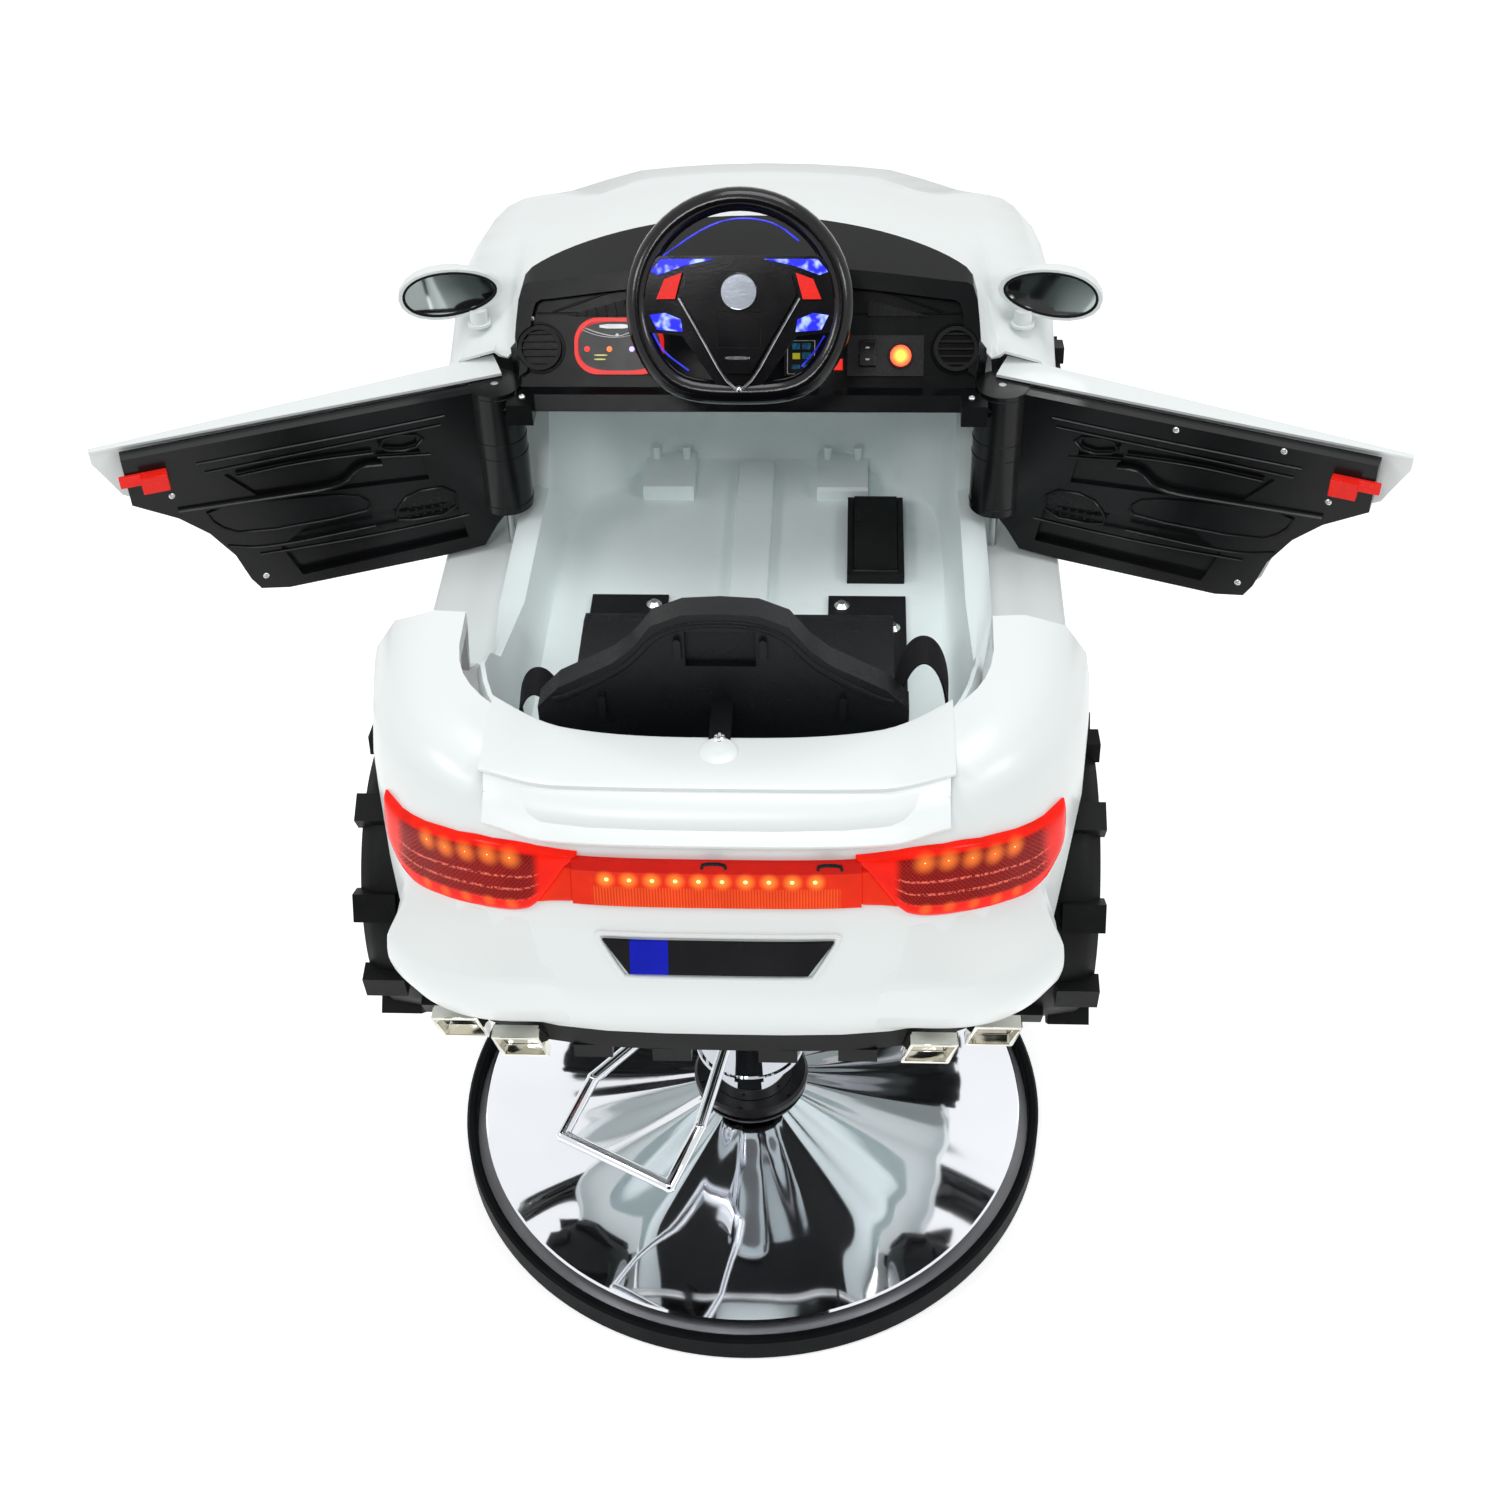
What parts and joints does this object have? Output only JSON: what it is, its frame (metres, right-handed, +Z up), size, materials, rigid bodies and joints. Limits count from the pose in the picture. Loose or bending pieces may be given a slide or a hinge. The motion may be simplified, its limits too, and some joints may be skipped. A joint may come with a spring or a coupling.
{
  "type": "kids car barber chair",
  "caption": "Child's barber chair: a white toy car body with opening doors, seat, dash and steering wheel on a chrome hydraulic pump base with a foot lever.",
  "frame": {"origin": "centre of the round base on the floor", "axes": "+X to the right of the car, +Y towards its nose, +Z up"},
  "size_m": [1.2676, 1.2157, 1.0233],
  "materials": {
    "foot_rubber": "black moulded rubber, satin",
    "plate_steel": "dark painted steel",
    "chrome": "bright chrome plate",
    "black_metal": "black satin enamel",
    "ram_steel": "ground steel",
    "cast_head": "machined cast iron",
    "frame_black": "black powder coat",
    "zinc": "zinc plated",
    "tub_plastic": "pale grey-white moulded plastic",
    "body_white": "white moulded plastic, gloss",
    "lamp_red": "clear red lens over a chromed tray",
    "plate_black": "bare black plate",
    "trim_black": "black moulded plastic",
    "lamp_clear": "clear lens over a chromed tray",
    "seat_black": "black moulded plastic, fine grain",
    "webbing": "woven black webbing",
    "dash_black": "black moulded plastic, satin",
    "panel_red": "red rim and black face",
    "button_amber": "glowing amber cap",
    "wheel_black": "gloss black moulded plastic",
    "lamp_blue": "blue lit window",
    "paddle_red": "red moulded plastic",
    "tyre_black": "black moulded plastic tyre",
    "rim_silver": "silver coat over plastic",
    "mirror_face": "mirror face"
  },
  "bodies": {
    "base": {"rubber_foot": "foot_rubber", "base_plate": "plate_steel", "base_cover": "chrome", "base_flange": "black_metal", "flange_screws": "black_metal", "outer_tube": "chrome"},
    "ram": {"ram": "ram_steel"},
    "pump_lever": {"pump_lever": "chrome"},
    "chassis": {"pump_head": "cast_head", "pump_shroud": "chrome", "subframe": "frame_black", "rear_axle": "zinc", "tub": "tub_plastic", "front_shell": "body_white", "rear_shell": "body_white", "tail_lamps": "lamp_red", "light_bar": "lamp_red", "number_plate": "plate_black", "diffuser": "trim_black", "exhaust_tips": "chrome", "headlamps": "lamp_clear", "grille": "trim_black", "mount_plates": "frame_black", "plate_bolts": "zinc", "seat": "seat_black", "belt_left": "webbing", "belt_right": "webbing", "dash": "dash_black", "air_vents": "trim_black", "media_panel": "panel_red", "switch_panel": "trim_black", "hinge_pins": "zinc", "pedal_frame": "trim_black"},
    "pedal": {"pedal": "trim_black"},
    "start_button": {"start_button": "button_amber"},
    "rocker": {"rocker": "trim_black"},
    "steering": {"steering_wheel": "wheel_black", "wheel_lights": "lamp_blue"},
    "button_left": {"button_left": "paddle_red"},
    "button_right": {"button_right": "paddle_red"},
    "knuckle_left": {"knuckle_left": "zinc"},
    "knuckle_right": {"knuckle_right": "zinc"},
    "wheel_front_left": {"tyre_front_left": "tyre_black", "rim_front_left": "rim_silver"},
    "wheel_front_right": {"tyre_front_right": "tyre_black", "rim_front_right": "rim_silver"},
    "wheel_rear_left": {"tyre_rear_left": "tyre_black", "rim_rear_left": "rim_silver"},
    "wheel_rear_right": {"tyre_rear_right": "tyre_black", "rim_rear_right": "rim_silver"},
    "door_left": {"door_left": "body_white", "panel_left": "trim_black"},
    "door_right": {"door_right": "body_white", "panel_right": "trim_black"},
    "latch_left": {"latch_left": "paddle_red"},
    "latch_right": {"latch_right": "paddle_red"},
    "mirror_left": {"mirror_left": "body_white", "mirror_glass_left": "mirror_face"},
    "mirror_right": {"mirror_right": "body_white", "mirror_glass_right": "mirror_face"}
  },
  "joints": [
    {"name": "lift", "type": "slide", "parent": "base", "child": "ram", "axis": [0, 0, 1], "range_m": [0, 0.15]},
    {"name": "swivel", "type": "hinge", "parent": "ram", "child": "chassis", "pos_m": [0, 0, 0.5], "axis": [0, 0, 1], "continuous": true},
    {"name": "lever", "type": "hinge", "parent": "chassis", "child": "pump_lever", "pos_m": [-0.03568, -0.0671, 0.25], "axis": [0.8829, -0.4695, 0], "range_deg": [0, 14], "stiffness_Nm_per_rad": 6, "springref_deg": -20.05},
    {"name": "steering", "type": "hinge", "parent": "chassis", "child": "steering", "pos_m": [0, 0.2, 0.93], "axis": [0, -0.866, 0.5], "range_deg": [-40, 40]},
    {"name": "knuckle_left", "type": "hinge", "parent": "chassis", "child": "knuckle_left", "pos_m": [-0.235, 0.56, 0.52], "axis": [0, 0, 1], "range_deg": [-5.6, 5.6]},
    {"name": "front_wheel_left", "type": "hinge", "parent": "knuckle_left", "child": "wheel_front_left", "pos_m": [-0.304, 0.56, 0.52], "axis": [1, 0, 0], "continuous": true},
    {"name": "rear_wheel_left", "type": "hinge", "parent": "chassis", "child": "wheel_rear_left", "pos_m": [-0.288, -0.12, 0.52], "axis": [1, 0, 0], "continuous": true},
    {"name": "door_left", "type": "hinge", "parent": "chassis", "child": "door_left", "pos_m": [-0.255, 0.287, 0.72], "axis": [0, 0, 1], "range_deg": [0, 57]},
    {"name": "latch_left", "type": "slide", "parent": "door_left", "child": "latch_left", "axis": [0.9336, 0.3584, 0], "range_m": [0, 0.008], "stiffness_N_per_m": 150, "springref_m": -0.004},
    {"name": "mirror_left", "type": "hinge", "parent": "chassis", "child": "mirror_left", "pos_m": [-0.277, 0.359, 0.83], "axis": [0, 0, 1], "range_deg": [-25, 25]},
    {"name": "paddle_left", "type": "slide", "parent": "steering", "child": "button_left", "axis": [0, 0.866, -0.5], "range_m": [0, 0.002], "stiffness_N_per_m": 400, "springref_m": -0.0005},
    {"name": "knuckle_right", "type": "hinge", "parent": "chassis", "child": "knuckle_right", "pos_m": [0.235, 0.56, 0.52], "axis": [0, 0, 1], "range_deg": [-5.6, 5.6]},
    {"name": "front_wheel_right", "type": "hinge", "parent": "knuckle_right", "child": "wheel_front_right", "pos_m": [0.304, 0.56, 0.52], "axis": [1, 0, 0], "continuous": true},
    {"name": "rear_wheel_right", "type": "hinge", "parent": "chassis", "child": "wheel_rear_right", "pos_m": [0.288, -0.12, 0.52], "axis": [1, 0, 0], "continuous": true},
    {"name": "door_right", "type": "hinge", "parent": "chassis", "child": "door_right", "pos_m": [0.255, 0.287, 0.72], "axis": [0, 0, -1], "range_deg": [0, 57]},
    {"name": "latch_right", "type": "slide", "parent": "door_right", "child": "latch_right", "axis": [-0.9336, 0.3584, 0], "range_m": [0, 0.008], "stiffness_N_per_m": 150, "springref_m": -0.004},
    {"name": "mirror_right", "type": "hinge", "parent": "chassis", "child": "mirror_right", "pos_m": [0.277, 0.359, 0.83], "axis": [0, 0, 1], "range_deg": [-25, 25]},
    {"name": "paddle_right", "type": "slide", "parent": "steering", "child": "button_right", "axis": [0, 0.866, -0.5], "range_m": [0, 0.002], "stiffness_N_per_m": 400, "springref_m": -0.0005},
    {"name": "pedal", "type": "hinge", "parent": "chassis", "child": "pedal", "pos_m": [0.132, 0.249, 0.5863], "axis": [-1, 0, 0], "range_deg": [0, 4], "stiffness_Nm_per_rad": 1.5, "springref_deg": -8.59},
    {"name": "start_button", "type": "slide", "parent": "chassis", "child": "start_button", "axis": [0, 0.8212, -0.5707], "range_m": [0, 0.002], "stiffness_N_per_m": 400, "springref_m": -0.0005},
    {"name": "rocker", "type": "hinge", "parent": "chassis", "child": "rocker", "pos_m": [0.12, 0.2992, 0.8191], "axis": [1, 0, 0], "range_deg": [-8, 8], "stiffness_Nm_per_rad": 0.05}
  ],
  "couplings": [
    {"joint": "knuckle_left", "follows": "steering", "ratio": 0.14},
    {"joint": "knuckle_right", "follows": "steering", "ratio": 0.14}
  ]
}
